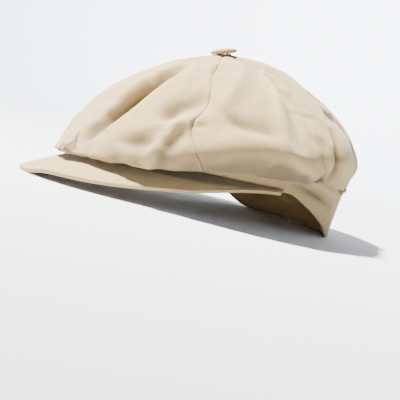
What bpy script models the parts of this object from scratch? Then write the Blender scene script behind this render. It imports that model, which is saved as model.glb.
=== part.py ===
"""Eight-panel newsboy cap in beige cotton, resting on the front of its peak and the back of its band."""

import math

import bpy
import numpy as np

# Sizes in metres. The front is -Y, the wearer's left is +X, up is +Z.
OPENING_LENGTH = 0.198
OPENING_WIDTH = 0.164
BAND_WALL = 0.002
BAND_HEIGHT = 0.035
BAND_LEAN = 0.0037
BAND_DENT = 0.003
SIDE_RISE = 0.0305
CROWN_WALL = 0.0012
CROWN_HEIGHT = 0.1212
CROWN_OVERHANG = 0.042
PANEL_PUFF = 0.0026
FOLD_WIDTH = 0.012
FOLD_DEPTH = 0.008
PEAK_THICKNESS = 0.0035
PEAK_EDGE_ROUND = 0.0012
PEAK_REACH = 0.0698
PEAK_SPREAD = 0.0038
PEAK_BOW = 0.028
PEAK_CAMBER = 0.002
BUTTON_DIAMETER = 0.021
BUTTON_THICKNESS = 0.0042
BUTTON_FORWARD = 0.0288

# Clearances
SEAM_GAP = 0.0004
SEAT_GAP = 0.0003
LAP_GAP = 0.0012

# Shape numbers without a unit, and angles in degrees
BAND_UPRIGHT = 0.25
TIP_SHARE = 0.36
PEAK_POINT = 0.93
PEAK_TURN = 88
TIP_LEAN = 14
BUTTON_LEAN = 9
LEAN_WAY = -35
PANEL_COLUMNS = 10
UPPER_ROWS = 16
UNDER_ROWS = 6
PANEL_ROWS = (UPPER_ROWS, UNDER_ROWS)
LIP_SHARE = 0.76
BAND_COLUMNS = 64
BAND_ROWS = 4
PEAK_COLUMNS = 32
PEAK_ROWS = 5

PANEL_NAMES = (
    "crown_panel_front_left",
    "crown_panel_foreside_left",
    "crown_panel_rearside_left",
    "crown_panel_back_left",
    "crown_panel_back_right",
    "crown_panel_rearside_right",
    "crown_panel_foreside_right",
    "crown_panel_front_right",
)
PANEL_ANGLE = 360 / len(PANEL_NAMES)

# Rise of the band's lower edge by the angle from the front, as shares of SIDE_RISE
RIM = {
    "angle": (0, 45, 91, 105, 120, 138, 180),
    "rise": (0.88, 0.92, 1.00, 0.74, 0.40, 0.0, 0.0),
}
# Rise of the peak's outer edge by the turn from its middle towards the wearer's left, as shares of PEAK_BOW
PEAK_EDGE = {
    "turn": (-90, -60, -35, -15, 0, 15, 35, 60, 90),
    "rise": (1.00, 0.54, 0.00, 0.00, 0.00, 0.145, 0.23, 0.50, 1.00),
}
# The crown's section by angle: reach and belly are shares of CROWN_OVERHANG past the band, sway is the share
# by which the belly slumps sideways, drop is a share of the seam's height, and the rest are shares of the
# way up from the belly to CROWN_HEIGHT
CROWN = {
    "angle": (0, 30, 60, 90, 120, 150, 180, 210, 240, 270, 300, 330),
    "reach": (1.090, 0.940, 0.785, 0.610, 0.250, 0.125, 0.120, 0.260, 0.520, 0.670, 0.745, 0.870),
    "belly": (1.165, 0.890, 0.665, 0.430, 0.190, 0.120, 0.110, 0.220, 0.380, 0.430, 0.550, 0.860),
    "sway": (0.00, 0.10, 0.28, 0.28, 0.10, 0.00, 0.00, 0.00, 0.00, -0.05, -0.08, -0.04),
    "drop": (0.285, 0.385, 0.565, 0.640, 0.880, 1.360, 1.380, 1.360, 0.900, 0.570, 0.480, 0.300),
    "wide": (0.088, 0.104, 0.116, 0.220, 0.260, 0.270, 0.310, 0.310, 0.280, 0.240, 0.190, 0.144),
    "shoulder": (0.356, 0.367, 0.401, 0.507, 0.575, 0.595, 0.605, 0.590, 0.551, 0.510, 0.456, 0.406),
    "brow": (0.648, 0.684, 0.698, 0.738, 0.813, 0.857, 0.854, 0.837, 0.777, 0.739, 0.715, 0.683),
    "crest": (0.863, 0.880, 0.900, 0.929, 0.990, 1.009, 1.000, 0.986, 0.948, 0.913, 0.898, 0.871),
}
# How far out from the button to the reach each upper station lies
STATIONS = {"crest": 0.30, "brow": 0.60, "shoulder": 0.86, "wide": 1.0}

# Folds of the crown from one angle and share of the way down to another. Bow is in degrees, width and depth
# are shares of FOLD_WIDTH and FOLD_DEPTH, and lip is the ridge raised beside it, on the side of its sign.
FOLD_COLUMNS = ("angle", "share", "to_angle", "to_share", "bow", "width", "depth", "lip")
FOLDS = {
    "long_valley": (14, 0.21, 9, 0.74, 5, 1.00, 1.15, -0.75),
    "brow_valley": (9, 0.22, -3, 0.64, 1, 0.85, 0.35, -0.25),
    "upper_dimple": (45, 0.42, 31, 0.54, 0, 0.85, 0.60, -0.20),
    "lower_dimple": (36, 0.60, 27, 0.67, 0, 0.85, 0.50, -0.20),
    "sharp_ridge": (40, 0.57, 36, 0.74, 0, 0.85, -0.45, 0.40),
    "lobe_edge": (90, 0.14, 50, 0.60, -6, 0.90, 0.50, -0.50),
    "side_edge": (98, 0.24, 82, 0.62, -3, 0.85, 0.45, -0.50),
    "soft_valley": (52, 0.51, 73, 0.56, 0, 0.90, 0.30, -0.30),
    "hip_ridge": (70, 0.61, 88, 0.73, 0, 0.90, -0.35, -0.30),
    "rear_crease": (109, 0.45, 130, 0.48, 0, 0.80, 0.40, 0.20),
    "rear_wedge": (100, 0.52, 98, 0.74, 0, 0.80, 0.45, 0.40),
    "front_gather": (12, 0.66, 12, 0.80, 0, 0.90, 0.30, 0.20),
    "fore_gather": (24, 0.66, 25, 0.80, 0, 0.90, 0.25, 0.20),
    "back_valley": (150, 0.26, 160, 0.62, 4, 1.00, 0.45, 0.30),
    "back_roll": (206, 0.28, 196, 0.64, -4, 1.00, 0.45, 0.30),
    "far_rear_fold": (236, 0.26, 222, 0.66, 3, 0.95, 0.50, 0.35),
    "far_hip_fold": (262, 0.42, 278, 0.72, 0, 0.95, 0.50, -0.35),
    "far_side_fold": (296, 0.22, 288, 0.66, -4, 1.00, 0.50, 0.35),
    "far_front_fold": (330, 0.26, 322, 0.72, 4, 1.00, 0.70, 0.45),
    "far_front_gather": (342, 0.64, 341, 0.80, 0, 0.90, 0.30, 0.20),
}

# Creases pressed into the band: angles, shares of its height, width share and depth share of BAND_DENT
BAND_FOLD_COLUMNS = ("angle", "up", "to_angle", "to_up", "width", "depth")
BAND_FOLDS = {
    "near_crease": (95, 0.62, 133, 0.74, 0.60, 1.00),
    "far_crease": (-97, 0.60, -128, 0.72, 0.60, 0.80),
}

COTTON = (0.66, 0.57, 0.44, 1)
COTTON_ROUGHNESS = 0.9


def heading(angle):
    turn = np.radians(angle)
    return np.stack([np.sin(turn), -np.cos(turn)], -1)


def eased(value, places, levels):
    places = np.asarray(places, float)
    levels = np.asarray(levels, float)
    slope = np.diff(levels) / np.diff(places)
    both = slope[:-1] * slope[1:]
    total = slope[:-1] + slope[1:]
    tangent = np.zeros(len(places))
    tangent[1:-1] = np.where(both > 0, 2 * both / np.where(total == 0, 1, total), 0)
    value = np.asarray(value, float)
    i = np.clip(np.searchsorted(places, value, side="right") - 1, 0, len(places) - 2)
    step = places[i + 1] - places[i]
    t = np.clip((value - places[i]) / step, 0, 1)
    return (
        (2 * t**3 - 3 * t**2 + 1) * levels[i]
        + (t**3 - 2 * t**2 + t) * step * tangent[i]
        + (3 * t**2 - 2 * t**3) * levels[i + 1]
        + (t**3 - t**2) * step * tangent[i + 1]
    )


def cubic(before, start, end, after, t):
    return 0.5 * (
        2 * start
        + (end - before) * t
        + (2 * before - 5 * start + 4 * end - after) * t**2
        + (3 * start - before - 3 * end + after) * t**3
    )


def around(angle, column):
    rows = np.array(CROWN[column])
    place = (np.asarray(angle, float) % 360) * len(rows) / 360
    i = np.floor(place).astype(int)
    near = [rows[(i + d) % len(rows)] for d in (-1, 0, 1, 2)]
    return cubic(*near, place - i)


def rim_height(angle):
    folded = np.abs((np.asarray(angle, float) + 180) % 360 - 180)
    return SIDE_RISE * eased(folded, RIM["angle"], RIM["rise"])


def band_halves(share):
    """Half-length and half-width of the band at a share of its wall, 0 inside and 1 outside."""
    out = share * BAND_WALL
    return OPENING_LENGTH / 2 + out, OPENING_WIDTH / 2 + out


def band_point(angle, up, share=0.5):
    length, width = band_halves(share)
    turn = np.radians(angle)
    up = np.asarray(up, float)
    lean = BAND_LEAN * np.clip((up - BAND_UPRIGHT) / (1 - BAND_UPRIGHT), 0, 1)
    x = width * np.sin(turn) + 0 * up
    y = lean - length * np.cos(turn)
    z = rim_height(angle) + BAND_HEIGHT * up
    return np.stack(np.broadcast_arrays(x, y, z), -1)


def peak_edge(turn):
    side, front = np.sin(np.radians(turn)), np.cos(np.radians(turn))
    length, width = band_halves(1)
    x = (width + PEAK_SPREAD) * np.sign(side) * np.abs(side) ** PEAK_POINT
    y = -(length + PEAK_REACH) * np.abs(front) ** PEAK_POINT
    z = PEAK_BOW * eased(turn, PEAK_EDGE["turn"], PEAK_EDGE["rise"])
    return np.stack([x, y, z], -1)


def peak_top(plan):
    """Height of the peak's upper face under points in plan, and of its edge beyond it."""
    turns = np.linspace(-90, 90, 61)
    edge = peak_edge(turns)
    rim = band_point(turns, 0, 1)
    bearing = np.arctan2(plan[..., 0], -plan[..., 1])
    far = np.hypot(plan[..., 0], plan[..., 1])
    reach, level = [], []
    for curve in (rim, edge):
        seen = np.arctan2(curve[:, 0], -curve[:, 1])
        reach.append(np.interp(bearing, seen, np.hypot(curve[:, 0], curve[:, 1])))
        level.append(np.interp(bearing, seen, curve[:, 2]))
    share = np.clip((far - reach[0]) / (reach[1] - reach[0]), 0, 1)
    return level[0] + share * (level[1] - level[0]) + PEAK_THICKNESS + PEAK_CAMBER * np.sin(math.pi * share)


def crown_stations(angle):
    angle = np.asarray(angle, float)
    way = heading(angle)
    seam = band_point(angle, 1, 1 + SEAT_GAP / BAND_WALL)
    seam[..., 2] += SEAM_GAP
    reach = seam[..., :2] + CROWN_OVERHANG * around(angle, "reach")[..., None] * way
    belly = seam[..., :2] + CROWN_OVERHANG * around(angle, "belly")[..., None] * way
    slide = CROWN_OVERHANG * around(angle, "sway")[..., None] * heading(angle + 90)
    reach = reach + 0.6 * slide
    belly = belly + slide
    low = np.maximum(around(angle, "drop") * seam[..., 2], peak_top(belly) + CROWN_WALL + LAP_GAP)
    button = np.array([0, -BUTTON_FORWARD])
    tip = TIP_SHARE * BUTTON_DIAMETER / 2
    sink = tip * math.tan(math.radians(TIP_LEAN)) * np.cos(np.radians(angle - LEAN_WAY))
    rows = [np.concatenate([button + tip * way, CROWN_HEIGHT - sink[..., None]], -1)]
    for name, out in STATIONS.items():
        height = low + around(angle, name) * (CROWN_HEIGHT - low)
        rows.append(np.concatenate([button + out * (reach - button), height[..., None]], -1))
    rows.append(np.concatenate([belly, low[..., None]], -1))
    under = 0.45 * rows[-1] + 0.55 * seam
    rows.append(under)
    rows.append(seam)
    return np.stack(rows, -2)


def threaded(stations, steps=12):
    """Smooth curves through the stations, as fine chains of points."""
    count = stations.shape[-2]
    place = np.linspace(0, count - 1, steps * (count - 1) + 1)
    i = np.minimum(place.astype(int), count - 2)
    first = 2 * stations[..., :1, :] - stations[..., 1:2, :]
    last = 2 * stations[..., -1:, :] - stations[..., -2:-1, :]
    chain = np.concatenate([first, stations, last], -2)
    near = [chain[..., i + d, :] for d in range(4)]
    return cubic(*near, (place - i)[:, None])


def crown_sheet(angles, shares):
    """The crown's outer face by angle and share of the way from button to band, LIP_SHARE at the belly."""
    steps = 12
    chains = threaded(crown_stations(angles), steps)
    belly = steps * (len(STATIONS) + 1)
    upper = np.clip(np.asarray(shares) / LIP_SHARE, 0, 1)
    under = np.clip((np.asarray(shares) - LIP_SHARE) / (1 - LIP_SHARE), 0, 1)
    out = np.empty((len(chains), len(upper), 3))
    for row, chain in zip(out, chains):
        run = np.append(0, np.cumsum(np.linalg.norm(np.diff(chain, axis=0), axis=1)))
        place = upper * run[belly] + under * (run[-1] - run[belly])
        for axis in range(3):
            row[:, axis] = np.interp(place, run, chain[:, axis])
    return out


def unit(vectors):
    return vectors / np.linalg.norm(vectors, axis=-1, keepdims=True)


def fold_line(sheet_of, start, end, bow=0):
    """Points along a fold, from one (angle, share) to another."""
    along = np.linspace(0, 1, 13)
    angles = start[0] + along * (end[0] - start[0]) + bow * np.sin(math.pi * along)
    shares = start[1] + along * (end[1] - start[1])
    return sheet_of(angles, shares)


def crown_line(angles, shares):
    return np.array([crown_sheet([a], [s])[0, 0] for a, s in zip(angles, shares)])


def fold_push(points, normals, line, width, depth, lip):
    """How far each point moves out for one fold: in along its line, out along the lip beside it."""
    ahead = np.gradient(line, axis=0)
    gap = points[..., None, :] - line
    near = np.argmin(np.linalg.norm(gap, axis=-1), axis=-1)
    offset = np.take_along_axis(gap, near[..., None, None], axis=-2)[..., 0, :]
    way = unit(ahead[near])
    run = np.sum(offset * way, -1)
    across = np.sum(offset * np.cross(normals, way), -1)
    last = len(line) - 1
    step = np.linalg.norm(line[-1] - line[0]) / last
    along = near / last + run / (last * step)
    past = np.maximum(abs(along - 0.5) - 0.5, 0)
    fade = np.sin(math.pi * np.clip(along, 0, 1)) ** 0.7 * np.exp(-((8 * past) ** 2))
    side = across / width
    ridge = abs(lip) * np.exp(-((side - 1.5 * np.sign(lip)) ** 2))
    return depth * fade * (ridge - np.exp(-(side**2)))


def out_normals(sheet):
    down = np.gradient(sheet, axis=1)
    round_ = np.gradient(sheet, axis=0)
    return unit(np.cross(down, round_))


def crown_folds():
    """Each fold's line and its sizes in metres."""
    folds = []
    for row in FOLDS.values():
        fold = dict(zip(FOLD_COLUMNS, row))
        start, end = (fold["angle"], fold["share"]), (fold["to_angle"], fold["to_share"])
        line = fold_line(crown_line, start, end, fold["bow"])
        folds.append((line, fold["width"] * FOLD_WIDTH, fold["depth"] * FOLD_DEPTH, fold["lip"]))
    return folds


def panel_sheet(place, folds, columns, rows):
    """One crown panel's outer face, from seam to seam, with its folds and its share of the seam gaps."""
    step = PANEL_ANGLE / columns
    angles = place * PANEL_ANGLE + step * np.arange(-1, columns + 2)
    shares = np.append(np.linspace(0, LIP_SHARE, rows[0] + 1), np.linspace(LIP_SHARE, 1, rows[1] + 1)[1:])
    sheet = crown_sheet(angles, shares)
    normals = out_normals(sheet)
    across = np.sin(math.pi * np.arange(-1, columns + 2) / columns)
    push = PANEL_PUFF * abs(across)[:, None] ** 0.6 * np.sin(math.pi * shares) ** 0.7
    for fold in folds:
        push = push + fold_push(sheet, normals, *fold)
    ends = np.clip(shares / 0.12, 0, 1) * np.clip((1 - shares) / 0.12, 0, 1)
    sheet = (sheet + normals * (push * ends)[..., None])[1:-1]
    for edge, inner in ((0, 1), (-1, -2)):
        along = unit(np.gradient(sheet[edge], axis=0))
        inward = sheet[inner] - sheet[edge]
        inward = unit(inward - np.sum(inward * along, -1, keepdims=True) * along)
        sheet[edge] += SEAM_GAP / 2 * inward
    return sheet


def band_sheet(columns, rows):
    """The middle of the band's wall, one closed round, with its creases."""
    angles = np.arange(columns) * 360 / columns
    ups = np.linspace(0, 1, rows + 1)
    sheet = band_point(angles[:, None], ups)
    way = np.concatenate([heading(angles), np.zeros((columns, 1))], -1)[:, None]
    facing = np.broadcast_to(way, sheet.shape)
    for row in BAND_FOLDS.values():
        fold = dict(zip(BAND_FOLD_COLUMNS, row))
        line = fold_line(band_point, (fold["angle"], fold["up"]), (fold["to_angle"], fold["to_up"]))
        push = fold_push(sheet, facing, line, fold["width"] * FOLD_WIDTH, fold["depth"] * BAND_DENT, 0)
        sheet = sheet + way * (push * np.sin(math.pi * ups))[..., None]
    return sheet


def peak_sheet(columns, rows):
    """The peak's under face, from the band's lower edge to its own outer edge."""
    turns = np.linspace(-PEAK_TURN, PEAK_TURN, columns + 1)[:, None]
    out = np.linspace(0, 1, rows + 1)
    root = band_point(turns, 0 * out, 1 + SEAT_GAP / BAND_WALL)
    edge = peak_edge(turns)
    sheet = root + out[:, None] * (edge - root)
    width = np.linalg.norm(edge - root[:, :1], axis=-1)
    sheet[..., 2] += PEAK_CAMBER * width / PEAK_REACH * np.sin(math.pi * out)
    return sheet


def button_seat(panels):
    """The middle of the button's back on the crown, and the way it faces: with the crown, leaning forward."""
    ring = np.concatenate(panels)
    centre = np.array([0, -BUTTON_FORWARD, CROWN_HEIGHT])
    under = np.linalg.norm(ring - centre, axis=-1) < 0.8 * BUTTON_DIAMETER
    spots = ring[under]
    plan = np.column_stack([spots[:, :2] - centre[:2], np.ones(len(spots))])
    tilt = np.linalg.lstsq(plan, spots[:, 2], rcond=None)[0]
    lean = math.tan(math.radians(BUTTON_LEAN)) * heading(LEAN_WAY)
    axis = unit(np.array([lean[0] - tilt[0], lean[1] - tilt[1], 1]))
    lift = np.max((spots - centre) @ axis) + SEAT_GAP
    return centre + lift * axis, axis


def middle_of(sheets):
    """The middle of the whole cap in plan, which becomes the origin."""
    points = np.concatenate([sheet.reshape(-1, 3) for sheet in sheets])
    middle = (points.min(0) + points.max(0)) / 2
    return np.array([middle[0], middle[1], 0])


def make_collection(name):
    collection = bpy.data.collections.new(name)
    bpy.context.scene.collection.children.link(collection)
    return collection


def make_material(name, colour=COTTON, roughness=COTTON_ROUGHNESS, metallic=0):
    material = bpy.data.materials.new(name)
    material.use_nodes = True
    shader = material.node_tree.nodes["Principled BSDF"]
    shader.inputs["Base Color"].default_value = colour
    shader.inputs["Roughness"].default_value = roughness
    shader.inputs["Metallic"].default_value = metallic
    return material


def sheet_object(name, sheet, closed, collection):
    """A mesh of the sheet's grid, its faces turned out, joined end to end when closed."""
    columns, rows = sheet.shape[:2]
    place = np.arange(columns * rows).reshape(columns, rows)
    after = np.roll(place, -1, 0)
    spans = columns if closed else columns - 1
    corners = (place[:spans, :-1], place[:spans, 1:], after[:spans, 1:], after[:spans, :-1])
    faces = np.stack(corners, -1).reshape(-1, 4)
    mesh = bpy.data.meshes.new(name)
    mesh.from_pydata(sheet.reshape(-1, 3).tolist(), [], faces.tolist())
    mesh.polygons.foreach_set("use_smooth", [True] * len(faces))
    mesh.materials.append(make_material(name + "_cotton"))
    cloth = bpy.data.objects.new(name, mesh)
    collection.objects.link(cloth)
    return cloth


def thicken(cloth, wall, offset):
    solidify = cloth.modifiers.new("wall", "SOLIDIFY")
    solidify.thickness = wall
    solidify.offset = offset
    solidify.use_rim = True


def add_crown_panel(name, panel, middle, collection):
    thicken(sheet_object(name, panel - middle, False, collection), CROWN_WALL, -1)


def add_band(middle, collection):
    sheet = band_sheet(BAND_COLUMNS, BAND_ROWS)[:, ::-1] - middle
    thicken(sheet_object("band", sheet, True, collection), BAND_WALL, 0)


def add_peak(middle, collection):
    peak = sheet_object("peak", peak_sheet(PEAK_COLUMNS, PEAK_ROWS) - middle, False, collection)
    thicken(peak, PEAK_THICKNESS, 1)
    bevel = peak.modifiers.new("round_edge", "BEVEL")
    bevel.width = PEAK_EDGE_ROUND
    bevel.segments = 2
    bevel.limit_method = "ANGLE"
    bevel.angle_limit = math.radians(60)


def button_profile():
    """Half-section of the covered button, from the middle of its back round to the middle of its top."""
    radius = BUTTON_DIAMETER / 2
    side = BUTTON_THICKNESS * 0.45
    turns = np.linspace(0, math.pi / 2, 6)
    dome = [(radius - side * (1 - math.cos(t)), side * (1 + 0.6 * math.sin(t))) for t in turns]
    top = [(radius * share, BUTTON_THICKNESS * (1 - 0.28 * share**2)) for share in (0.6, 0.35, 0)]
    back = [(0, 0), (radius * 0.5, 0), (radius - side * 0.6, 0), (radius - side * 0.15, side * 0.4)]
    return [*back, *dome, *top]


def add_button(panels, middle, collection):
    spot, axis = button_seat(panels)
    profile = button_profile()
    mesh = bpy.data.meshes.new("button")
    edges = [(i, i + 1) for i in range(len(profile) - 1)]
    mesh.from_pydata([(r, 0, z) for r, z in profile], edges, [])
    mesh.materials.append(make_material("button_cotton"))
    button = bpy.data.objects.new("button", mesh)
    collection.objects.link(button)
    turn = button.modifiers.new("turn", "SCREW")
    turn.steps = turn.render_steps = 20
    turn.use_merge_vertices = True
    turn.merge_threshold = 0.00001
    turn.use_smooth_shade = True
    turn.use_normal_calculate = True
    button.location = spot - middle
    button.rotation_euler = (-math.asin(axis[1]), math.atan2(axis[0], axis[2]), 0)


def build_cap():
    for old in list(bpy.data.objects):
        bpy.data.objects.remove(old, do_unlink=True)
    collection = make_collection("cotton_cap")
    folds = crown_folds()
    panels = [panel_sheet(k, folds, PANEL_COLUMNS, PANEL_ROWS) for k in range(len(PANEL_NAMES))]
    middle = middle_of([*panels, peak_sheet(PEAK_COLUMNS, PEAK_ROWS)])
    for name, panel in zip(PANEL_NAMES, panels):
        add_crown_panel(name, panel, middle, collection)
    add_band(middle, collection)
    add_peak(middle, collection)
    add_button(panels, middle, collection)


build_cap()
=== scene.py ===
"""Looks of the cotton newsboy cap: folded panels with seams, creased band, covered peak and button."""

import math

import bpy
import numpy as np
from mathutils import Matrix, Vector


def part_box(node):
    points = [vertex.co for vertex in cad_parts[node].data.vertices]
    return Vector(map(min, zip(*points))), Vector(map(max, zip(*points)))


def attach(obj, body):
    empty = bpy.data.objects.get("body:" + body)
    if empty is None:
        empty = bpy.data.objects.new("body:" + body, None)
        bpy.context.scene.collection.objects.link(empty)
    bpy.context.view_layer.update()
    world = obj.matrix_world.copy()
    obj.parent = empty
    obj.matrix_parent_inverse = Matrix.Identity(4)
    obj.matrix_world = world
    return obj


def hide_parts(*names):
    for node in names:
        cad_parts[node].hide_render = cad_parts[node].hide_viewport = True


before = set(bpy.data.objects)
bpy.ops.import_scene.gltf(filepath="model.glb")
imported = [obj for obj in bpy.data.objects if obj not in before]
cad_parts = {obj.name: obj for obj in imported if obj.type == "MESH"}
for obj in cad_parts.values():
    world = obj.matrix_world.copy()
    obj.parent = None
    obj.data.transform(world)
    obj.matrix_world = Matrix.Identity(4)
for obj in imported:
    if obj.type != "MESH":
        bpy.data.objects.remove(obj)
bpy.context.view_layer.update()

# Sizes of the solid cap in metres. The front is -Y, the wearer's left is +X, up is +Z.
OPENING_LENGTH = 0.198
OPENING_WIDTH = 0.164
BAND_WALL = 0.002
BAND_HEIGHT = 0.035
BAND_LEAN = 0.0037
SIDE_RISE = 0.0305
CROWN_WALL = 0.0012
CROWN_HEIGHT = 0.1212
CROWN_OVERHANG = 0.042
PANEL_PUFF = 0.0026
PEAK_THICKNESS = 0.0035
PEAK_REACH = 0.0698
PEAK_SPREAD = 0.0038
PEAK_BOW = 0.028
PEAK_CAMBER = 0.002
BUTTON_DIAMETER = 0.021
BUTTON_THICKNESS = 0.0042
BUTTON_FORWARD = 0.0288
SEAM_GAP = 0.0004
SEAT_GAP = 0.0003
LAP_GAP = 0.0012

# Sizes that only the dressed cap and its stage have, in metres
CLOTH_WALL = 0.9 * CROWN_WALL
PEAK_BOARD = 0.0027
PEAK_RISE = 0.0005
PEAK_ROUND = 0.0012
BAND_ROUND = 0.0007
GROOVE_DEPTH = 0.0007
GROOVE_WIDTH = 0.0011
SEAM_PARTING = 0.00003
BUTTON_GATHER = 0.00012
THREAD = 0.00052
STITCH_INSET = 0.0021
STITCH_PITCH = 0.0029
STITCH_CORE = 0.00018
STITCH_EDGE = 0.00045
DITCH_CORE = 0.0001
DITCH_EDGE = 0.0008
NARROW_FOLD = 0.005
OFF_SEAM = 0.02
FLOOR_REACH = 1.6
WALL_BEND = 0.9
WALL_FOOT = 1.6
WALL_TOP = 2.4

# Gentle lumps of the cloth: height and size in metres, and the seed of their noise
CROWN_LUMPS = ((0.0008, 0.045, 3), (0.00025, 0.016, 5))
BAND_LUMPS = (0.0003, 0.03, 9)
PEAK_LUMPS = (0.00022, 0.05, 21)

# Fineness of the noises in the cloth, in turns a metre
SLUB_ACROSS = 1900.0
SLUB_ALONG = 90.0
FUZZ = 900.0
SOFT_CREASES = 70.0
BLOTCHES = 22.0

# Painted shade, in the metres of hollow that would look as dark
OVERHANG_SHADE = 0.0075
BELLY_SHADE = 0.0012
NEAR_SIDE_SHADE = 0.0060
PEAK_SHADE = 0.0070
PEAK_SHADE_INSET = 0.013
PEAK_SHADE_BLUR = 0.006

# Shape numbers without a unit, and angles in degrees
BAND_UPRIGHT = 0.25
TIP_SHARE = 0.36
PEAK_POINT = 0.93
PEAK_TURN = 88
TIP_LEAN = 14
LEAN_WAY = -35
LIP_SHARE = 0.76
UNDER_SHARE = 0.55
REACH_SWAY = 0.6
NEAR_SIDE = 64
NEAR_SIDE_WIDTH = 30
PANELS = 8
CREASES = 150
CREASE_SEED = 11

# Gathers round the crown: height in metres, share of the way down, spread as a share, and waves
# that each have a strength, a number round the crown and a start in radians
SEAM_PUCKERS = (0.0009, 1.0, 0.16, ((0.5, 31, 1.1), (0.35, 47, 2.0), (0.3, 64, 0.4)))
LIP_GATHERS = (0.0007, LIP_SHARE, 0.055, ((0.5, 27, 0.3), (0.4, 38, 1.7), (0.3, 55, 2.6)))

# Fineness of the meshes
ANGLE_STEP = 0.5
PANEL_COLUMNS = 84
UPPER_ROWS = 120
UNDER_ROWS = 30
BAND_COLUMNS = 420
BAND_ROWS = 36
PEAK_COLUMNS = 180
PEAK_ROWS = 26
BUTTON_COLUMNS = 96
STAGE_COLUMNS = 64
SECTION_STEPS = 12
FOLD_STEPS = 25

PANEL_NAMES = (
    "crown_panel_front_left",
    "crown_panel_foreside_left",
    "crown_panel_rearside_left",
    "crown_panel_back_left",
    "crown_panel_back_right",
    "crown_panel_rearside_right",
    "crown_panel_foreside_right",
    "crown_panel_front_right",
)

# Rise of the band's lower edge by the angle from the front, as shares of SIDE_RISE
RIM = {
    "angle": (0, 45, 91, 105, 120, 138, 180),
    "rise": (0.88, 0.92, 1.00, 0.74, 0.40, 0.0, 0.0),
}
# Rise of the peak's outer edge by the turn from its middle, as shares of PEAK_BOW
PEAK_EDGE = {
    "turn": (-90, -60, -35, -15, 0, 15, 35, 60, 90),
    "rise": (1.00, 0.54, 0.00, 0.00, 0.00, 0.145, 0.23, 0.50, 1.00),
}
# How far the peak's edge is drawn in on the far side, in metres, by the same turn
PEAK_DRAW = {
    "turn": (-90, -48, -24, -10, 6, 90),
    "pull": (0, 0, 0.0045, 0.0012, 0, 0),
}
# The crown's section by angle: reach and belly as shares of CROWN_OVERHANG, sway sideways along it, drop
# as a share of the seam's height, and the stations' heights as shares of the rise to CROWN_HEIGHT.
# Most of these were fitted by least squares to points on the photo's outline; they weren't chosen by hand.
CROWN = {
    "angle": (0, 30, 60, 90, 120, 150, 180, 210, 240, 270, 300, 330),
    "reach": (1.010, 0.950, 0.801, 0.609, 0.244, 0.085, 0.122, 0.260, 0.520, 0.670, 0.747, 0.854),
    "belly": (1.100, 0.820, 0.500, 0.330, 0.100, 0.060, 0.060, 0.150, 0.320, 0.400, 0.520, 0.850),
    "sway": (0.00, 0.10, 0.28, 0.28, 0.10, 0.00, 0.00, 0.00, 0.00, -0.05, -0.08, -0.04),
    "drop": (0.326, 0.403, 0.590, 0.642, 0.879, 1.352, 1.380, 1.360, 0.900, 0.570, 0.481, 0.290),
    "wide": (0.085, 0.120, 0.190, 0.250, 0.258, 0.255, 0.311, 0.310, 0.280, 0.240, 0.191, 0.136),
    "shoulder": (0.353, 0.370, 0.404, 0.507, 0.574, 0.586, 0.605, 0.590, 0.551, 0.510, 0.457, 0.394),
    "brow": (0.646, 0.683, 0.697, 0.738, 0.814, 0.866, 0.853, 0.837, 0.777, 0.739, 0.715, 0.678),
    "crest": (0.868, 0.879, 0.899, 0.929, 1.001, 1.017, 1.000, 0.986, 0.948, 0.913, 0.897, 0.884),
}
# How far out from the button to the reach each upper station lies
STATIONS = {"crest": 0.30, "brow": 0.60, "shoulder": 0.86, "wide": 1.0}

# Degrees by which each seam strays from its straight line, by share of the way down
SEAM_STRAY = {
    0: ((0, 0.3, 0.6, 1), (0, 1.0, 2.0, 0)),
    1: ((0, 0.22, 0.41, 0.48, 0.55, 0.60, 0.65, 0.73, 1), (0, -3.0, 0, -1, -3, -2, 0, 2, 2)),
    2: ((0, 0.40, 0.535, 0.58, 0.635, 0.67, 0.70, 1), (0, 0, -3.5, -3, -2, -1, 1, 2)),
    3: ((0, 0.4, 0.7, 1), (0, 1.5, -1.5, 0)),
    4: ((0, 0.4, 0.7, 1), (0, -1.2, 1.2, 0)),
    5: ((0, 0.35, 0.65, 1), (0, 1.0, -1.8, 0)),
    6: ((0, 0.4, 0.7, 1), (0, 1.6, -1.0, 0)),
    7: ((0, 0.35, 0.65, 1), (0, -1.5, 1.2, 0)),
}

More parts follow.
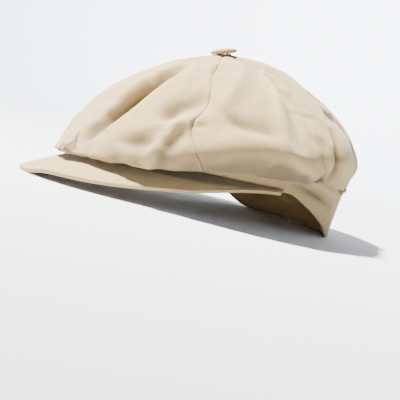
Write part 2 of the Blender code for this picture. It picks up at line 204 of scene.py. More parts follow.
# Folds of the crown, from one angle and share of the way down to another. Bow is in degrees, width and depth
# in millimetres, lip is the ridge beside the fold on the side of its sign, and taper narrows its upper end.
FOLD_COLUMNS = ("angle", "share", "to_angle", "to_share", "bow", "width", "depth", "lip", "taper")
FOLDS = {
    "long_valley": (13, 0.17, 6, 0.715, 3.0, 8.0, 6.0, -0.95, 0.40),
    "long_valley_core": (13, 0.18, 7, 0.69, 3.0, 4.0, 3.6, -0.80, 0.30),
    "brow_valley": (2, 0.20, -10, 0.60, 0, 7.0, 2.6, -0.10, 0.40),
    "upper_dimple": (46, 0.395, 31, 0.555, -2.5, 7.0, 5.2, 0.40, 0),
    "upper_dimple_tail": (34, 0.44, 31, 0.57, 0, 4.5, 1.2, 0.40, 0),
    "upper_dimple_brow": (44, 0.505, 35, 0.58, 0, 5.0, -1.6, 0, 0),
    "lower_dimple": (40, 0.628, 20, 0.668, 0, 6.0, 4.0, -0.30, 0),
    "lower_dimple_tail": (41, 0.588, 27, 0.608, 0, 4.5, 1.6, -0.3, 0),
    "sharp_ridge": (39, 0.540, 32, 0.775, -1.5, 4.6, -4.2, 0.55, 0),
    "lobe_edge": (88, 0.10, 52, 0.60, -6, 9.0, 1.2, -0.60, 0.45),
    "lobe_crest": (76, 0.05, 47, 0.555, -5, 4.5, -1.6, 0, 0.30),
    "kink": (41, 0.553, 48, 0.548, 0, 2.6, 1.3, -0.5, 0),
    "soft_valley": (52, 0.51, 73, 0.56, 0, 7.0, 3.8, -0.40, 0),
    "mid_roll": (47, 0.615, 75, 0.632, 0, 7.0, -1.3, 0, 0),
    "side_edge": (93, 0.18, 77, 0.63, -3, 7.0, 5.0, -0.60, 0.50),
    "side_crest": (85, 0.20, 71, 0.62, -4, 4.0, -1.6, 0, 0.30),
    "hip_ridge": (70, 0.61, 88, 0.735, 0, 7.0, -3.6, -0.30, 0),
    "apex_tuck": (84, 0.03, 98, 0.20, 2, 4.5, 1.5, 0.5, 0.4),
    "upper_ridge": (92, 0.185, 98, 0.44, -2, 6.0, -1.4, 0, 0.4),
    "rear_crease": (108, 0.435, 134, 0.485, 0, 6.0, 3.6, 0.30, 0),
    "rear_wedge": (100.5, 0.51, 97.5, 0.735, -1.5, 6.0, 4.6, 0.55, 0.55),
    "rear_wedge_left": (95, 0.52, 93, 0.745, -1.5, 4.0, -1.3, 0, 0),
    "front_gather": (12, 0.67, 11, 0.79, 0, 5.0, 1.6, 0.30, 0),
    "fore_gather": (22, 0.69, 23, 0.79, 0, 5.0, 1.6, 0.40, 0),
    "fore_notch": (24.5, 0.725, 25, 0.79, 0, 2.6, 1.2, 0.30, 0),
    "corner_tuck": (2, 0.66, 3, 0.79, 0, 4.0, 1.6, 0.40, 0),
    "near_gather": (58, 0.715, 60, 0.82, 0, 7.0, 2.0, 0.40, 0),
    "side_gather": (79, 0.725, 81, 0.82, 0, 6.0, 1.8, 0.40, 0),
    "back_valley": (150, 0.26, 160, 0.62, 4, 11.0, 3.6, 0.30, 0.30),
    "back_pleat": (172, 0.50, 170, 0.86, 2, 6.0, 2.4, 0.45, 0),
    "back_roll": (206, 0.28, 196, 0.64, -4, 11.0, 3.6, 0.30, 0.30),
    "far_rear_fold": (236, 0.26, 222, 0.66, 3, 10.0, 4.2, 0.35, 0.35),
    "far_rear_pleat": (216, 0.55, 212, 0.86, 0, 6.0, 2.2, -0.4, 0),
    "far_hip_fold": (262, 0.42, 278, 0.72, 0, 10.5, 4.0, -0.35, 0),
    "far_side_fold": (296, 0.22, 288, 0.66, -4, 11.0, 4.2, 0.35, 0.40),
    "far_fore_crease": (312, 0.40, 300, 0.70, 3, 7.0, 2.6, -0.45, 0.30),
    "far_front_fold": (330, 0.24, 322, 0.72, 4, 11.0, 6.0, 0.50, 0.45),
    "far_front_gather": (342, 0.64, 341, 0.80, 0, 8.5, 2.6, 0.25, 0),
    "far_fore_gather": (316, 0.68, 315, 0.80, 0, 6.0, 2.2, 0.35, 0),
}

# Creases of the band: angles, shares of its height, width and depth in millimetres
BAND_FOLD_COLUMNS = ("angle", "up", "to_angle", "to_up", "bow", "width", "depth", "lip")
BAND_FOLDS = {
    "near_crease": (90, 0.20, 127, 0.54, 0, 4.2, 5.0, 0.45),
    "near_crease_lip": (93, 0.10, 118, 0.26, 0, 3.5, -1.0, 0),
    "rear_crease": (148, 0.80, 176, 0.62, 0, 4.5, 1.2, 0.3),
    "far_crease": (-97, 0.66, -130, 0.70, 0, 5.0, 2.2, 0.3),
    "far_rear_crease": (-150, 0.35, -176, 0.50, 0, 4.0, 0.9, 0.3),
}

# The photo's view, fitted to it: the camera's place round the cap, its aim and roll, in degrees and
# metres, and its lens and sensor in millimetres
CAMERA = {"azimuth": 55.14, "elevation": 0.96, "distance": 0.7954, "height": 0.06}
AIM = {"yaw": 0.98, "pitch": 4.08, "roll": 14.5}
LENS = 87.84
SENSOR_WIDTH = 36

# Lamps: place, aim and size in metres, power in watts, spread in degrees
LAMPS = {
    "key": {
        "place": (-0.50, -0.60, 1.55),
        "aim": (0, 0, 0.05),
        "size": 0.20,
        "power": 62,
        "color": (1, 0.985, 0.96),
        "spread": 90,
    },
    "backdrop": {
        "place": (-0.7, 0.75, 1.9),
        "aim": (-1.9, 1.7, 0.1),
        "size": 1.0,
        "power": 200,
        "color": (0.98, 0.99, 1),
        "spread": 130,
    },
}
WORLD_COLOR = (0.95, 0.97, 1.0, 1)
WORLD_STRENGTH = 0.08
FLOOR_COLOR = (0.66, 0.685, 0.72, 1)

# The cotton's colours; the palest also serves as painted highlight on ridges, and the deepest as painted
# shade in hollows, under the overhang and low on the near side.
COTTON_LIGHT = (0.370, 0.255, 0.108, 1)
COTTON_DARK = (0.310, 0.210, 0.085, 1)
COTTON_PALE_AND_HIGHLIGHT = (0.520, 0.375, 0.180, 1)
COTTON_DEEP_AND_SHADE = (0.080, 0.052, 0.022, 1)


def heading(angle):
    turn = np.radians(angle)
    return np.stack([np.sin(turn), -np.cos(turn)], -1)


def eased(value, places, levels):
    places = np.asarray(places, float)
    levels = np.asarray(levels, float)
    slope = np.diff(levels) / np.diff(places)
    both = slope[:-1] * slope[1:]
    total = slope[:-1] + slope[1:]
    tangent = np.zeros(len(places))
    tangent[1:-1] = np.where(both > 0, 2 * both / np.where(total == 0, 1, total), 0)
    value = np.asarray(value, float)
    i = np.clip(np.searchsorted(places, value, side="right") - 1, 0, len(places) - 2)
    step = places[i + 1] - places[i]
    t = np.clip((value - places[i]) / step, 0, 1)
    return (
        (2 * t**3 - 3 * t**2 + 1) * levels[i]
        + (t**3 - 2 * t**2 + t) * step * tangent[i]
        + (3 * t**2 - 2 * t**3) * levels[i + 1]
        + (t**3 - t**2) * step * tangent[i + 1]
    )


def cubic(before, start, end, after, t):
    return 0.5 * (
        2 * start
        + (end - before) * t
        + (2 * before - 5 * start + 4 * end - after) * t**2
        + (3 * start - before - 3 * end + after) * t**3
    )


def around(angle, column):
    rows = np.array(CROWN[column])
    place = (np.asarray(angle, float) % 360) * len(rows) / 360
    i = np.floor(place).astype(int)
    near = [rows[(i + d) % len(rows)] for d in (-1, 0, 1, 2)]
    return cubic(*near, place - i)


def rim_height(angle):
    folded = np.abs((np.asarray(angle, float) + 180) % 360 - 180)
    return SIDE_RISE * eased(folded, RIM["angle"], RIM["rise"])


def band_halves(share):
    out = share * BAND_WALL
    return OPENING_LENGTH / 2 + out, OPENING_WIDTH / 2 + out


def band_point(angle, up, share=0.5):
    length, width = band_halves(share)
    turn = np.radians(angle)
    up = np.asarray(up, float)
    lean = BAND_LEAN * np.clip((up - BAND_UPRIGHT) / (1 - BAND_UPRIGHT), 0, 1)
    x = width * np.sin(turn) + 0 * up
    y = lean - length * np.cos(turn)
    z = rim_height(angle) + BAND_HEIGHT * up
    return np.stack(np.broadcast_arrays(x, y, z), -1)


def peak_edge(turn):
    side, front = np.sin(np.radians(turn)), np.cos(np.radians(turn))
    length, width = band_halves(1)
    x = (width + PEAK_SPREAD) * np.sign(side) * np.abs(side) ** PEAK_POINT
    y = -(length + PEAK_REACH) * np.abs(front) ** PEAK_POINT
    z = PEAK_BOW * eased(turn, PEAK_EDGE["turn"], PEAK_EDGE["rise"])
    return np.stack([x, y, z], -1)


def peak_top(plan):
    turns = np.linspace(-90, 90, 61)
    edge = peak_edge(turns)
    rim = band_point(turns, 0, 1)
    bearing = np.arctan2(plan[..., 0], -plan[..., 1])
    far = np.hypot(plan[..., 0], plan[..., 1])
    reach, level = [], []
    for curve in (rim, edge):
        seen = np.arctan2(curve[:, 0], -curve[:, 1])
        reach.append(np.interp(bearing, seen, np.hypot(curve[:, 0], curve[:, 1])))
        level.append(np.interp(bearing, seen, curve[:, 2]))
    share = np.clip((far - reach[0]) / (reach[1] - reach[0]), 0, 1)
    return level[0] + share * (level[1] - level[0]) + PEAK_THICKNESS + PEAK_CAMBER * np.sin(math.pi * share)


def crown_stations(angle):
    angle = np.asarray(angle, float)
    way = heading(angle)
    seam = band_point(angle, 1, 1 + SEAT_GAP / BAND_WALL)
    seam[..., 2] += SEAM_GAP
    reach = seam[..., :2] + CROWN_OVERHANG * around(angle, "reach")[..., None] * way
    belly = seam[..., :2] + CROWN_OVERHANG * around(angle, "belly")[..., None] * way
    slide = CROWN_OVERHANG * around(angle, "sway")[..., None] * heading(angle + 90)
    reach = reach + REACH_SWAY * slide
    belly = belly + slide
    low = np.maximum(around(angle, "drop") * seam[..., 2], peak_top(belly) + CROWN_WALL + LAP_GAP)
    button = np.array([0, -BUTTON_FORWARD])
    tip = TIP_SHARE * BUTTON_DIAMETER / 2
    sink = tip * math.tan(math.radians(TIP_LEAN)) * np.cos(np.radians(angle - LEAN_WAY))
    rows = [np.concatenate([button + tip * way, CROWN_HEIGHT - sink[..., None]], -1)]
    for name, out in STATIONS.items():
        height = low + around(angle, name) * (CROWN_HEIGHT - low)
        rows.append(np.concatenate([button + out * (reach - button), height[..., None]], -1))
    rows.append(np.concatenate([belly, low[..., None]], -1))
    rows.append((1 - UNDER_SHARE) * rows[-1] + UNDER_SHARE * seam)
    rows.append(seam)
    return np.stack(rows, -2)


def threaded(stations):
    count = stations.shape[-2]
    place = np.linspace(0, count - 1, SECTION_STEPS * (count - 1) + 1)
    i = np.minimum(place.astype(int), count - 2)
    first = 2 * stations[..., :1, :] - stations[..., 1:2, :]
    last = 2 * stations[..., -1:, :] - stations[..., -2:-1, :]
    chain = np.concatenate([first, stations, last], -2)
    near = [chain[..., i + d, :] for d in range(4)]
    return cubic(*near, (place - i)[:, None])


def crown_sheet(angles, shares):
    chains = threaded(crown_stations(angles))
    belly = SECTION_STEPS * (len(STATIONS) + 1)
    upper = np.clip(np.asarray(shares) / LIP_SHARE, 0, 1)
    under = np.clip((np.asarray(shares) - LIP_SHARE) / (1 - LIP_SHARE), 0, 1)
    out = np.empty((len(chains), len(upper), 3))
    for row, chain in zip(out, chains):
        run = np.append(0, np.cumsum(np.linalg.norm(np.diff(chain, axis=0), axis=1)))
        place = upper * run[belly] + under * (run[-1] - run[belly])
        for axis in range(3):
            row[:, axis] = np.interp(place, run, chain[:, axis])
    return out


def unit(vectors):
    return vectors / np.maximum(np.linalg.norm(vectors, axis=-1, keepdims=True), 1e-12)


def fold_line(sheet_of, start, end, bow=0):
    along = np.linspace(0, 1, FOLD_STEPS)
    angles = start[0] + along * (end[0] - start[0]) + bow * np.sin(math.pi * along)
    shares = start[1] + along * (end[1] - start[1])
    return sheet_of(angles, shares)


def crown_line(angles, shares):
    return np.array([crown_sheet([a], [s])[0, 0] for a, s in zip(angles, shares)])


def profile(side, crisp):
    """A fold's section: a smooth bump, mixed with flat faces that meet in a crisp edge."""
    smooth = np.exp(-(side**2))
    face = 1.12 - (np.sqrt(side**2 + 0.05) - 0.22) / 1.55
    faces = 0.12 * np.logaddexp(0, face / 0.12)
    return (1 - crisp) * smooth + crisp * faces


def fold_push(points, normals, line, width, depth, lip, taper=0, crisp=0.5):
    """How far each point moves out for one fold: in along its line, out along the lip beside it."""
    push = np.zeros(points.shape[:-1])
    reach = 4 * abs(width)
    inside = np.all((points > line.min(0) - reach) & (points < line.max(0) + reach), -1)
    if not inside.any():
        return push
    spots, facing = points[inside], normals[inside]
    ahead = np.gradient(line, axis=0)
    gap = spots[:, None, :] - line
    near = np.argmin(np.linalg.norm(gap, axis=-1), axis=-1)
    offset = np.take_along_axis(gap, near[:, None, None], axis=-2)[:, 0, :]
    way = unit(ahead[near])
    run = np.sum(offset * way, -1)
    across = np.sum(offset * np.cross(facing, way), -1)
    deep = np.sum(offset * facing, -1)
    last = len(line) - 1
    step = np.linalg.norm(line[-1] - line[0]) / last
    along = near / last + run / (last * step)
    past = np.maximum(abs(along - 0.5) - 0.5, 0)
    fade = np.sin(math.pi * np.clip(along, 0, 1)) ** 0.7 * np.exp(-((8 * past) ** 2))
    fade = fade * np.exp(-((deep / (2.5 * width)) ** 2))
    side = across / (width * (1 - taper * (1 - np.clip(along, 0, 1))))
    ridge = abs(lip) * profile(side - 1.5 * np.sign(lip), crisp)
    push[inside] = depth * fade * (ridge - profile(side, crisp))
    return push


def lumps(points, height, size, seed):
    """Gentle lumps of about the given height and size."""
    draw = np.random.default_rng(seed)
    total = 0
    for turn in range(7):
        way = unit(draw.normal(size=3))
        pitch = size * draw.uniform(0.7, 1.5)
        total = total + np.sin(points @ way * (2 * math.pi / pitch) + draw.uniform(0, 6.28))
    return height * total / 7


def gathers(turn, shares, height, spot, spread, waves):
    """Small waves round the crown, strongest at one share of the way down."""
    total = sum(strength * np.sin(count * turn + start) for strength, count, start in waves)
    return height * total * np.exp(-(((shares - spot) / spread) ** 2))


def blurred(field, cells):
    """The field averaged over its neighbours in both directions; its columns close on themselves."""
    for _ in range(cells):
        field = (np.roll(field, 1, 0) + 2 * field + np.roll(field, -1, 0)) / 4
        padded = np.pad(field, ((0, 0), (1, 1)), mode="edge")
        field = (padded[:, :-2] + 2 * field + padded[:, 2:]) / 4
    return field


# Where the middle of the head opening lies in the row frame
band_low, band_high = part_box("band")
MIDDLE = np.array(
    [-(band_low[0] + band_high[0]) / 2, -(OPENING_LENGTH / 2 + BAND_WALL) - band_low[1], 0.0]
)


def grid_faces(columns, rows, closed=False):
    place = np.arange(columns * rows).reshape(columns, rows)
    after = np.roll(place, -1, 0)
    spans = columns if closed else columns - 1
    corners = (place[:spans, :-1], place[:spans, 1:], after[:spans, 1:], after[:spans, :-1])
    return np.stack(corners, -1).reshape(-1, 4)


def closed_map(flat, columns):
    """The loops' map with the last faces carried on past its end, where the sheet closes on itself."""
    turned = flat.reshape(-1, 4, 2)
    wide = np.ptp(turned[..., 0], axis=1) > np.ptp(flat[:, 0]) / 2
    span = np.ptp(flat[:, 0]) * columns / (columns - 1)
    low = turned[..., 0] < flat[:, 0].mean()
    turned[..., 0] += np.where(wide[:, None] & low, span, 0)
    return turned.reshape(-1, 2)


def sheet_object(name, sheet, closed=False, maps=None, fold=None):
    """A smooth mesh of the sheet's grid. Maps holds UV layers by name, and fold a value for each point,
    which the cotton paints as shade below zero and as highlight above it.
    """
    columns, rows = sheet.shape[:2]
    faces = grid_faces(columns, rows, closed)
    mesh = bpy.data.meshes.new(name)
    mesh.from_pydata(sheet.reshape(-1, 3).tolist(), [], faces.tolist())
    mesh.polygons.foreach_set("use_smooth", [True] * len(faces))
    loops = faces.reshape(-1)
    for layer, values in (maps or {}).items():
        uv = mesh.uv_layers.new(name=layer)
        flat = values.reshape(-1, 2)[loops].copy()
        if closed:
            flat = closed_map(flat, columns)
        uv.data.foreach_set("uv", flat.reshape(-1))
    if fold is not None:
        attribute = mesh.attributes.new("fold", "FLOAT", "POINT")
        attribute.data.foreach_set("value", np.asarray(fold, np.float32).reshape(-1))
    piece = bpy.data.objects.new(name, mesh)
    bpy.context.scene.collection.objects.link(piece)
    return piece


def thicken(piece, wall, offset):
    solidify = piece.modifiers.new("wall", "SOLIDIFY")
    solidify.thickness = wall
    solidify.offset = offset
    solidify.use_rim = True


def round_edges(piece, width, segments):
    bevel = piece.modifiers.new("round_edge", "BEVEL")
    bevel.width = width
    bevel.segments = segments
    bevel.limit_method = "ANGLE"
    bevel.angle_limit = math.radians(50)


def finish_piece(piece, material, slot, *nodes):
    piece.data.materials.append(material)
    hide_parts(*nodes)
    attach(piece, "root")


# The cloth's material

class Shader:
    """A material's node tree, with one call to add a node and feed its inputs."""

    def __init__(self, name):
        self.material = bpy.data.materials.new(name)
        self.material.use_nodes = True
        self.tree = self.material.node_tree
        self.surface = self.tree.nodes["Principled BSDF"]

    def add(self, kind, feeds=None, **settings):
        node = self.tree.nodes.new(kind)
        for key, value in settings.items():
            setattr(node, key, value)
        for key, value in (feeds or {}).items():
            self.feed(node.inputs[key], value)
        return node

    def feed(self, socket, value):
        if isinstance(value, bpy.types.NodeSocket):
            self.tree.links.new(value, socket)
        else:
            socket.default_value = value

    def sum(self, operation, first, second=0.0, third=0.0):
        return self.add("ShaderNodeMath", {0: first, 1: second, 2: third}, operation=operation).outputs[0]

    def blend(self, share, first, second):
        node = self.add("ShaderNodeMix", data_type="RGBA")
        self.feed(node.inputs[0], share)
        self.feed(node.inputs[6], first)
        self.feed(node.inputs[7], second)
        return node.outputs[2]

    def ramp(self, value, low, high, to_low=0.0, to_high=1.0):
        feeds = {"Value": value, "From Min": low, "From Max": high, "To Min": to_low, "To Max": to_high}
        return self.add("ShaderNodeMapRange", feeds, interpolation_type="SMOOTHSTEP").outputs[0]

    def noise(self, vector, scale, detail, rough, stretch=None):
        if stretch:
            vector = self.add("ShaderNodeMapping", {"Vector": vector, "Scale": stretch}).outputs[0]
        feeds = {"Vector": vector, "Scale": scale, "Detail": detail, "Roughness": rough}
        return self.add("ShaderNodeTexNoise", feeds).outputs["Fac"]


def toned(color, tone):
    return tuple(tone * part for part in color[:3]) + (1,)


def cloth_color(s, slub, tone):
    """The cloth's colour: soft blotches, paler and darker slubs, and from the fold attribute a painted
    highlight on ridges and painted shade in hollows and other shaded places.
    """
    place = s.add("ShaderNodeTexCoord").outputs["Object"]
    blotch = s.noise(place, BLOTCHES, 4.0, 0.6)
    fold = s.add("ShaderNodeAttribute", attribute_name="fold").outputs["Fac"]
    color = s.blend(s.ramp(blotch, 0.35, 0.68), toned(COTTON_DARK, tone), COTTON_LIGHT)
    color = s.blend(0.72, color, toned(COTTON_LIGHT, tone))
    color = s.blend(s.ramp(slub, 0.80, 1.25, 0.0, 0.16), color, COTTON_PALE_AND_HIGHLIGHT)
    color = s.blend(s.ramp(slub, 0.95, 0.62, 0.0, 0.14), color, COTTON_DEEP_AND_SHADE)
    # Painted highlight on ridges and painted shade in hollows, under the overhang and low on the near side
    color = s.blend(s.ramp(fold, 0.0002, 0.0022, 0.0, 0.45), color, COTTON_PALE_AND_HIGHLIGHT)
    return s.blend(s.ramp(fold, -0.0002, -0.0052, 0.0, 0.84), color, COTTON_DEEP_AND_SHADE)


def stitched(s, color, height):
    """The colour and height with a row of stitches beside the seam and a dark line in its ditch."""
    seam = s.add("ShaderNodeUVMap", uv_map="seam").outputs[0]
    from_seam, along = s.add("ShaderNodeSeparateXYZ", {0: seam}).outputs[:2]
    off = s.sum("ABSOLUTE", s.sum("SUBTRACT", from_seam, STITCH_INSET))
    on_line = s.ramp(off, STITCH_EDGE, STITCH_CORE)
    beat = s.sum("FRACT", s.sum("MULTIPLY", along, 1 / STITCH_PITCH))
    beat = s.sum("ABSOLUTE", s.sum("SUBTRACT", beat, 0.5))
    stitch = s.sum("MULTIPLY", on_line, s.ramp(beat, 0.40, 0.33))
    ditch = s.ramp(from_seam, DITCH_EDGE, DITCH_CORE)
    color = s.blend(s.sum("MULTIPLY", stitch, 0.45), color, COTTON_PALE_AND_HIGHLIGHT)
    color = s.blend(s.sum("MULTIPLY", s.sum("SUBTRACT", on_line, stitch), 0.40), color, COTTON_DEEP_AND_SHADE)
    color = s.blend(s.sum("MULTIPLY", ditch, 0.45), color, COTTON_DEEP_AND_SHADE)
    height = s.sum("MULTIPLY_ADD", on_line, -0.9, height)
    return color, s.sum("MULTIPLY_ADD", stitch, 1.8, height)


def cotton(name, tone=1.0, stitches=False):
    """Plain-weave cotton, with threads and slubs along the cloth map."""
    s = Shader(name)
    cloth = s.add("ShaderNodeUVMap", uv_map="cloth").outputs[0]
    place = s.add("ShaderNodeTexCoord").outputs["Object"]
    across, along = s.add("ShaderNodeSeparateXYZ", {0: cloth}).outputs[:2]
    waves = [s.sum("SINE", s.sum("MULTIPLY", way, 2 * math.pi / THREAD)) for way in (across, along)]
    warp = s.noise(cloth, 1.0, 2.0, 0.6, stretch=(SLUB_ACROSS, SLUB_ALONG, 1.0))
    weft = s.noise(cloth, 1.0, 2.0, 0.6, stretch=(SLUB_ALONG, SLUB_ACROSS, 1.0))
    slub = s.sum("ADD", warp, weft)
    fuzz = s.noise(place, FUZZ, 4.0, 0.7)
    color = cloth_color(s, slub, tone)
    height = s.sum("MULTIPLY_ADD", s.sum("MULTIPLY", *waves), 0.10, s.sum("MULTIPLY", slub, 0.55))
    height = s.sum("MULTIPLY_ADD", fuzz, 0.35, height)
    if stitches:
        color, height = stitched(s, color, height)
    fine = s.add("ShaderNodeBump", {"Height": height, "Strength": 0.45, "Distance": 0.00030})
    creased = {"Height": s.noise(place, SOFT_CREASES, 4.0, 0.62), "Strength": 0.45, "Distance": 0.0016}
    coarse = s.add("ShaderNodeBump", {**creased, "Normal": fine.outputs[0]})
    s.feed(s.surface.inputs["Base Color"], color)
    s.feed(s.surface.inputs["Roughness"], s.ramp(fuzz, 0.2, 0.8, 0.82, 0.97))
    s.feed(s.surface.inputs["Normal"], coarse.outputs[0])
    s.feed(s.surface.inputs["Specular IOR Level"], 0.25)
    s.feed(s.surface.inputs["Sheen Weight"], 0.18)
    s.feed(s.surface.inputs["Sheen Roughness"], 0.55)
    s.feed(s.surface.inputs["Sheen Tint"], (1.0, 0.95, 0.86, 1))
    return s.material


# The crown

SHARES = np.append(
    np.linspace(0, LIP_SHARE, UPPER_ROWS + 1), np.linspace(LIP_SHARE, 1, UNDER_ROWS + 1)[1:]
)


def crown_folds():
    folds = []
    for row in FOLDS.values():
        fold = dict(zip(FOLD_COLUMNS, row))
        start, end = (fold["angle"], fold["share"]), (fold["to_angle"], fold["to_share"])
        line = fold_line(crown_line, start, end, fold["bow"])
        folds.append((line, fold["width"] / 1000, fold["depth"] / 1000, fold["lip"], fold["taper"]))
    return folds


def small_creases():
    """Short shallow creases scattered over the crown."""
    draw = np.random.default_rng(CREASE_SEED)
    creases = []
    for _ in range(CREASES):
        angle, share = draw.uniform(0, 360), draw.uniform(0.12, 0.74)
        turn = draw.normal(0, 7)
        end = (angle + turn, min(share + draw.uniform(0.04, 0.13), 0.80))
        line = fold_line(crown_line, (angle, share), end, draw.normal(0, 1.2))
        width = draw.uniform(0.0022, 0.0060)
        creases.append((line, width, draw.uniform(0.16, 0.34) * width, draw.choice([-0.6, 0.6]), 0))
    return creases


def painted_light_and_shade(push, angles):
    """Painted shade and highlight: below zero in hollows, under the overhang and low on the near side, and
    above zero on ridges.
    """
    hollow = push - blurred(push, 110) + 0.6 * (push - blurred(push, 12))
    near = np.exp(-(((angles - NEAR_SIDE) / NEAR_SIDE_WIDTH) ** 2))
    over_peak = np.clip((np.cos(np.radians(angles)) - 0.05) / 0.20, 0, 1)
    overhang = OVERHANG_SHADE * over_peak * np.clip((SHARES - LIP_SHARE + 0.01) / 0.05, 0, 1)
    low = (BELLY_SHADE + NEAR_SIDE_SHADE * near) * np.clip((SHARES - 0.55) / 0.20, 0, 1) ** 1.5
    return hollow - overhang - low


def crown_field():
    """The whole crown's face, its normals, how far each point is pushed along them, and its painted shade
    and highlight.
    """
    angles = np.arange(0, 360, ANGLE_STEP)
    base = crown_sheet(angles, SHARES)
    down = np.gradient(base, axis=1)
    sideways = np.roll(base, -1, 0) - np.roll(base, 1, 0)
    normals = unit(np.cross(down, sideways))
    push = np.zeros(base.shape[:2])
    for fold in crown_folds() + small_creases():
        crisp = 0.8 if fold[1] < NARROW_FOLD else 0.5
        push += fold_push(base, normals, *fold, crisp)
    angles = angles[:, None]
    turn = np.radians(angles)
    front = 0.5 + 0.5 * np.cos(turn - 0.4)
    push += gathers(turn, SHARES, *SEAM_PUCKERS) + front * gathers(turn, SHARES, *LIP_GATHERS)
    for kind in CROWN_LUMPS:
        push += lumps(base, *kind)
    ends = np.clip(SHARES / 0.10, 0, 1) * np.clip((1 - SHARES) / 0.06, 0, 1)
    push = push * ends * (1 - 0.5 * np.exp(-(((SHARES - LIP_SHARE) / 0.06) ** 2)))
    return base, normals, push, painted_light_and_shade(push, angles)


def seam_angle(seam, shares):
    places, stray = SEAM_STRAY[seam % PANELS]
    return 360 / PANELS * seam + eased(shares, places, stray)


def sampled(field, angle):
    """Values of a closed round of rows at an angle for each column and row."""
    place = angle / ANGLE_STEP
    i = np.floor(place).astype(int)
    t = place - i
    rows = np.arange(field.shape[1])
    count = len(field)
    near = [field[(i + d) % count, rows] for d in (-1, 0, 1, 2)]
    if field.ndim > 2:
        t = t[..., None]
    return cubic(*near, t)


def panel_lift(across, from_edge, shares):
    """How far a panel stands out between its sunken seams, in metres."""
    full = np.sin(math.pi * shares) ** 0.7
    puff = PANEL_PUFF * (np.sin(math.pi * across) ** 0.6 - 0.8) * full
    groove = GROOVE_DEPTH * np.exp(-((from_edge / GROOVE_WIDTH) ** 2)) * np.clip(shares / 0.05, 0, 1)
    return puff - groove


def panel_maps(sheet, across, width, from_edge, place):
    """The panel's cloth map, and its distance from the seam on its last side with the way down it."""
    middle = sheet[PANEL_COLUMNS // 2]
    down = np.append(0, np.cumsum(np.linalg.norm(np.diff(middle, axis=0), axis=-1)))
    length = np.broadcast_to(down, from_edge.shape)
    cloth = np.stack([(across - 0.5) * width + 0.3 * place, length], -1)
    beside = np.stack([np.where(across < 0.5, from_edge + OFF_SEAM, from_edge), length], -1)
    return {"cloth": cloth, "seam": beside}


def add_panel(place, base, normals, push, tone, material):
    across = (0.5 - 0.5 * np.cos(np.linspace(0, math.pi, PANEL_COLUMNS + 1)))[:, None]
    first, last = seam_angle(place, SHARES), seam_angle(place + 1, SHARES)
    angle = first + across * (last - first)
    sheet, facing, lift = sampled(base, angle), unit(sampled(normals, angle)), sampled(push, angle)
    width = np.linalg.norm(np.diff(sheet, axis=0), axis=-1).sum(0)
    from_edge = np.minimum(across, 1 - across) * width
    sheet = sheet + facing * (lift + panel_lift(across, from_edge, SHARES))[..., None]
    for edge, inner in ((0, 1), (-1, -2)):
        sheet[edge] += SEAM_PARTING * unit(sheet[inner] - sheet[edge])
    maps = panel_maps(sheet, across, width, from_edge, place)
    name = PANEL_NAMES[place].replace("panel", "cloth")
    # The fold attribute carries the crown's painted shade in hollows, under the overhang and low on the near
    # side, and painted highlight on ridges.
    panel = sheet_object(name, sheet - MIDDLE, maps=maps, fold=sampled(tone, angle))
    thicken(panel, CLOTH_WALL, -1)
    finish_piece(panel, material, "crown_cotton", PANEL_NAMES[place])


# The band

def band_push(sheet, way, ups):
    """How far each point of the band moves out for its creases and lumps."""
    facing = np.broadcast_to(way, sheet.shape)
    push = np.zeros(sheet.shape[:2])
    for row in BAND_FOLDS.values():
        fold = dict(zip(BAND_FOLD_COLUMNS, row))
        start, end = (fold["angle"], fold["up"]), (fold["to_angle"], fold["to_up"])
        line = fold_line(band_point, start, end, fold["bow"])
        push += fold_push(sheet, facing, line, fold["width"] / 1000, fold["depth"] / 1000, fold["lip"])
    push = push * np.sin(math.pi * ups) ** 0.6
    return push + lumps(sheet, *BAND_LUMPS) * np.sin(math.pi * ups)


def add_band(material):
    angles = np.arange(BAND_COLUMNS) * 360 / BAND_COLUMNS
    ups = np.linspace(0, 1, BAND_ROWS + 1)
    sheet = band_point(angles[:, None], ups)
    way = np.concatenate([heading(angles), np.zeros((BAND_COLUMNS, 1))], -1)[:, None]
    push = band_push(sheet, way, ups)
    sheet = sheet + way * push[..., None]
    run = np.append(0, np.cumsum(np.linalg.norm(np.diff(sheet[:, 0], axis=0), axis=-1)))
    cloth = np.stack(np.broadcast_arrays(run[:, None], BAND_HEIGHT * ups), -1)
    flip = slice(None, None, -1)
    maps = {"cloth": cloth[:, flip]}
    # The band's crease heights go to the fold attribute as painted shade in its hollows and painted
    # highlight on its ridges.
    band = sheet_object("band_cloth", (sheet - MIDDLE)[:, flip], closed=True, maps=maps, fold=push[:, flip])
    thicken(band, BAND_WALL, 0)
    round_edges(band, BAND_ROUND, 3)
    finish_piece(band, material, "band_cotton", "band")


# The peak

def peak_shade(sheet):
    """The painted shade on the peak, for what lies well inside the crown's overhang."""
    lip = crown_sheet(np.arange(0, 360, 3.0), [LIP_SHARE])[:, 0]
    bearing = np.degrees(np.arctan2(sheet[..., 0], -sheet[..., 1]))
    seen = np.degrees(np.arctan2(lip[:, 0], -lip[:, 1]))
    order = np.argsort(seen)
    brim = np.interp(bearing, seen[order], np.hypot(lip[:, 0], lip[:, 1])[order])
    covered = brim - np.hypot(sheet[..., 0], sheet[..., 1])
    return -PEAK_SHADE * np.clip((covered - PEAK_SHADE_INSET) / PEAK_SHADE_BLUR, 0, 1)


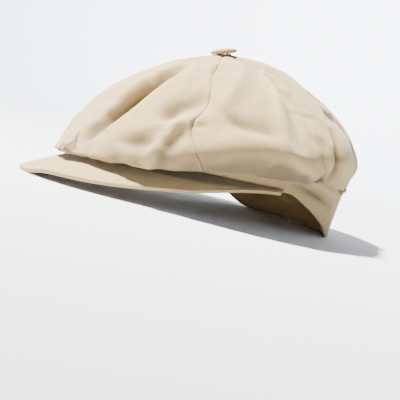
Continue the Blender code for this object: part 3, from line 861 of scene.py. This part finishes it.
def add_peak(material):
    turns = np.linspace(-PEAK_TURN, PEAK_TURN, PEAK_COLUMNS + 1)[:, None]
    out = np.linspace(0, 1, PEAK_ROWS + 1)
    root = band_point(turns, 0 * out, 1 + SEAT_GAP / BAND_WALL)
    edge = peak_edge(turns)
    pull = eased(turns, PEAK_DRAW["turn"], PEAK_DRAW["pull"])[..., None]
    edge[..., :2] *= 1 - pull / np.linalg.norm(edge[..., :2], axis=-1, keepdims=True)
    sheet = root + out[:, None] * (edge - root)
    width = np.linalg.norm(edge - root[:, :1], axis=-1)
    sheet[..., 2] += PEAK_RISE * width / PEAK_REACH * np.sin(math.pi * out)
    sheet[..., 2] += lumps(sheet, *PEAK_LUMPS) * np.sin(math.pi * out)
    maps = {"cloth": sheet[..., :2].copy()}
    peak = sheet_object("peak_cloth", sheet - MIDDLE, maps=maps, fold=peak_shade(sheet))
    thicken(peak, PEAK_BOARD, 1)
    round_edges(peak, PEAK_ROUND, 4)
    finish_piece(peak, material, "peak_cotton", "peak")


# The button

def button_pose():
    """Middle of the solid button's flat back and its axis."""
    points = np.array([v.co[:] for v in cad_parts["button"].data.vertices])
    middle = points.mean(0)
    axis = np.linalg.svd(points - middle)[2][2]
    axis = axis * np.sign(axis[2])
    spin = points - middle
    flat = spin - (spin @ axis)[:, None] * axis
    rim = np.linalg.norm(flat, axis=1) > 0.48 * BUTTON_DIAMETER
    middle = (points[rim].min(0) + points[rim].max(0)) / 2
    low = ((points - middle) @ axis).min()
    return middle + low * axis, axis


def button_section(radius, side):
    """Radius and height of the button's rings: a flat back, a rounded side and a domed top."""
    section = [(0.0001, 0), (radius * 0.4, 0), (radius * 0.7, 0), (radius - side * 0.6, 0.0001)]
    section.append((radius - side * 0.15, side * 0.4))
    for turn in np.linspace(0, math.pi / 2, 10):
        section.append((radius - side * (1 - math.cos(turn)), side * (1 + 0.6 * math.sin(turn))))
    for share in (0.72, 0.6, 0.45, 0.3, 0.15, 0.001):
        section.append((radius * share, BUTTON_THICKNESS * (1 - 0.28 * share**2)))
    return section


def add_button(material):
    spot, axis = button_pose()
    radius = BUTTON_DIAMETER / 2
    side = BUTTON_THICKNESS * 0.45
    turns = np.linspace(0, 2 * math.pi, BUTTON_COLUMNS + 1)[:-1]
    rings = []
    for out, up in button_section(radius, side):
        gather = BUTTON_GATHER * np.sin(17 * turns) * np.clip(1 - up / (1.4 * side), 0, 1)
        wide = out + gather * (out / radius)
        rings.append(np.stack([wide * np.cos(turns), wide * np.sin(turns), 0 * turns + up], -1))
    upright = np.stack(rings, 1)
    tilt = np.array(Vector(axis).to_track_quat("Z", "Y").to_matrix())
    maps = {"cloth": upright[..., :2]}
    fold = np.zeros(upright.shape[:2])
    button = sheet_object("button_cloth", upright @ tilt.T + spot, closed=True, maps=maps, fold=fold)
    finish_piece(button, material, "button_cotton", "button")


# The stage, the light and the camera

def add_stage():
    """A pale floor that curves up into a wall all round."""
    wall = FLOOR_REACH + WALL_BEND
    section = [(0.0, 0.0), (0.5, 0.0), (1.0, 0.0), (FLOOR_REACH, 0.0)]
    for bend in np.linspace(0.1, math.pi / 2, 12):
        section.append((FLOOR_REACH + WALL_BEND * math.sin(bend), WALL_BEND - WALL_BEND * math.cos(bend)))
    section += [(wall, WALL_FOOT), (wall, WALL_TOP)]
    turns = np.linspace(0, 2 * math.pi, STAGE_COLUMNS + 1)[:-1]
    rings = [np.stack([out * np.sin(turns), out * np.cos(turns), 0 * turns + up], -1) for out, up in section]
    stage = sheet_object("studio_floor", np.stack(rings, 1), closed=True)
    s = Shader("studio_paper")
    s.feed(s.surface.inputs["Base Color"], FLOOR_COLOR)
    s.feed(s.surface.inputs["Roughness"], 0.9)
    s.feed(s.surface.inputs["Specular IOR Level"], 0.1)
    stage.data.materials.append(s.material)


def add_lamp(name, place, aim, size, power, color, spread):
    lamp = bpy.data.lights.new(name, "AREA")
    lamp.shape = "DISK"
    lamp.size = size
    lamp.energy = power
    lamp.color = color
    lamp.spread = math.radians(spread)
    light = bpy.data.objects.new(name, lamp)
    light.location = place
    light.rotation_mode = "QUATERNION"
    light.rotation_quaternion = (Vector(aim) - Vector(place)).to_track_quat("-Z", "Y")
    bpy.context.scene.collection.objects.link(light)


def add_world():
    world = bpy.data.worlds.new("studio")
    world.use_nodes = True
    background = world.node_tree.nodes["Background"]
    background.inputs["Color"].default_value = WORLD_COLOR
    background.inputs["Strength"].default_value = WORLD_STRENGTH
    bpy.context.scene.world = world


def direction(a, e):
    return np.array([math.sin(a) * math.cos(e), -math.cos(a) * math.cos(e), math.sin(e)])


def add_camera():
    a, e = math.radians(CAMERA["azimuth"]), math.radians(CAMERA["elevation"])
    spot = np.array([0, 0, CAMERA["height"]]) + CAMERA["distance"] * direction(a, e) - MIDDLE
    a, e = a + math.radians(AIM["yaw"]), e + math.radians(AIM["pitch"])
    roll = math.radians(AIM["roll"])
    back = Vector(direction(a, e))
    side = Vector((math.cos(a), math.sin(a), 0))
    up = Vector((-math.sin(e) * math.sin(a), math.sin(e) * math.cos(a), math.cos(e)))
    right = math.cos(roll) * side + math.sin(roll) * up
    upward = -math.sin(roll) * side + math.cos(roll) * up
    data = bpy.data.cameras.new("camera")
    data.lens = LENS
    data.sensor_width = SENSOR_WIDTH
    camera = bpy.data.objects.new("camera", data)
    turn = Matrix((right, upward, back)).transposed().to_4x4()
    camera.matrix_world = Matrix.Translation(Vector(spot)) @ turn
    bpy.context.scene.collection.objects.link(camera)
    bpy.context.scene.camera = camera


base, normals, push, tone = crown_field()
crown_cotton = cotton("crown_cotton", stitches=True)
for place in range(PANELS):
    add_panel(place, base, normals, push, tone, crown_cotton)
add_band(cotton("band_cotton", tone=0.97))
add_peak(cotton("peak_cotton", tone=1.02))
add_button(cotton("button_cotton", tone=0.93))
add_stage()
add_world()
for name, lamp in LAMPS.items():
    add_lamp(name, **lamp)
add_camera()
